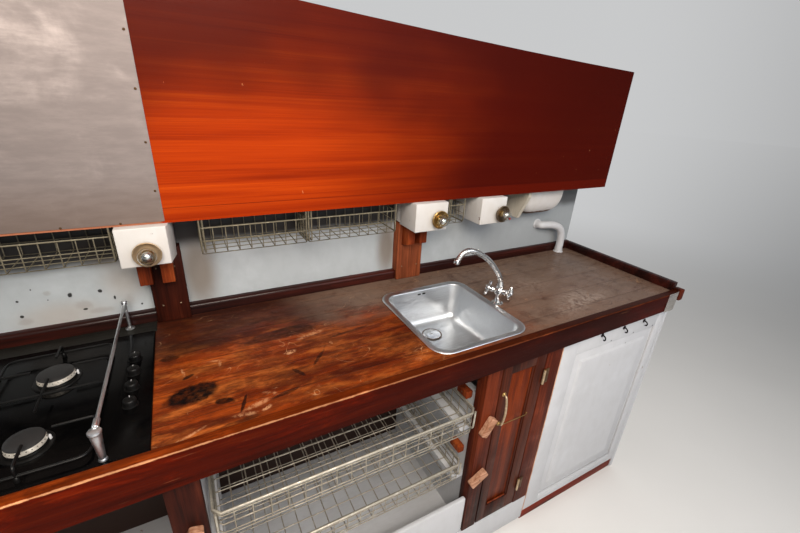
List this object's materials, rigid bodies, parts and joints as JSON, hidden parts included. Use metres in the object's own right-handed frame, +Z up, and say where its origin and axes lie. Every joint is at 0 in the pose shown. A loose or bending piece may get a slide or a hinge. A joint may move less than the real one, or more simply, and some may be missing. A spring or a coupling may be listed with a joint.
{
  "type": "ship's galley unit",
  "caption": "Fixed galley joinery of a wooden ship: counter with hob, sink and tap, sliding wire baskets, cupboard, hanging racks and upper panel.",
  "frame": {"origin": "centre of the unit's bounding box at floor level", "axes": "+X to the right along the counter, +Y towards the wall behind it, +Z up"},
  "size_m": [2.644, 0.65, 2.085],
  "materials": {
    "worktop": "varnished mahogany planks, worn, greyed and stained",
    "mahogany": "dark red-brown mahogany, varnished",
    "upper_panel": "orange-red mahogany veneer, glossy",
    "dark_wood": "dark wood, matte",
    "light_wood": "pale wood, oiled",
    "white_paint": "off-white paint on wood, semi-matte",
    "cream_paint": "cream gloss paint on wood, chipped",
    "lining_paint": "grey-white paint on board, chipped",
    "steel": "brushed stainless steel",
    "chrome": "polished chrome plate",
    "wire": "dull coated wire",
    "black_glass": "black toughened glass, glossy",
    "enamel": "black enamel",
    "brass": "aged brass",
    "lamp": "metal ring with a clear dome"
  },
  "bodies": {
    "unit": {"worktop": "worktop", "front_board": "mahogany", "fillet": "mahogany", "backboard": "lining_paint", "upper_post_left": "mahogany", "upper_post_mid": "mahogany", "upper_panel": "upper_panel", "steel_sheet": "steel", "upper_frame": "lining_paint", "lamp_box_1": "cream_paint", "lamp_box_2": "cream_paint", "lamp_box_3": "cream_paint", "lamp_1": "lamp", "lamp_2": "lamp", "lamp_3": "lamp", "rack_left": "wire", "rack_mid_left": "wire", "rack_mid_right": "wire", "rack_small": "wire", "sink": "steel", "sink_waste": "chrome", "tap_body": "chrome", "tap_handle_1": "chrome", "tap_handle_2": "chrome", "hob_glass": "black_glass", "hob_tray": "steel", "burner_1": "enamel", "burner_2": "enamel", "burner_3": "enamel", "burner_4": "enamel", "hob_knobs": "enamel", "pan_support_1": "enamel", "pan_support_2": "enamel", "hob_rail_right": "steel", "hob_rail_left": "steel", "end_panel_left": "mahogany", "end_panel_right": "white_paint", "bottom_board": "white_paint", "plinth": "dark_wood", "wall_left": "white_paint", "wall_mid": "white_paint", "wall_right": "white_paint", "post_left": "mahogany", "post_mid": "mahogany", "basket_stop_upper": "mahogany", "basket_stop_lower": "mahogany", "post_right": "mahogany", "turn_button_upper": "light_wood", "turn_button_lower": "light_wood", "turn_button_left": "light_wood", "hinge_lower": "brass", "hinge_upper": "brass", "white_panel": "white_paint", "vent_housing": "white_paint", "wall_pipe": "white_paint"},
    "door": {"door": "dark_wood", "door_pull": "brass"},
    "basket_upper": {"basket_upper": "wire"},
    "basket_lower": {"basket_lower": "wire"},
    "spout": {"tap_spout": "chrome"}
  },
  "joints": [
    {"name": "door_hinge", "type": "hinge", "parent": "unit", "child": "door", "pos_m": [0.555, -0.2998, 0.573], "axis": [0, 0, 1], "range_deg": [0, 110]},
    {"name": "basket_upper_slide", "type": "slide", "parent": "unit", "child": "basket_upper", "axis": [0, -1, 0], "range_m": [0, 0.35]},
    {"name": "basket_lower_slide", "type": "slide", "parent": "unit", "child": "basket_lower", "axis": [0, -1, 0], "range_m": [0, 0.35]},
    {"name": "spout_swivel", "type": "hinge", "parent": "unit", "child": "spout", "pos_m": [0.49, -0.069, 1.14], "axis": [0, 0, 1], "range_deg": [-80, 80]}
  ]
}
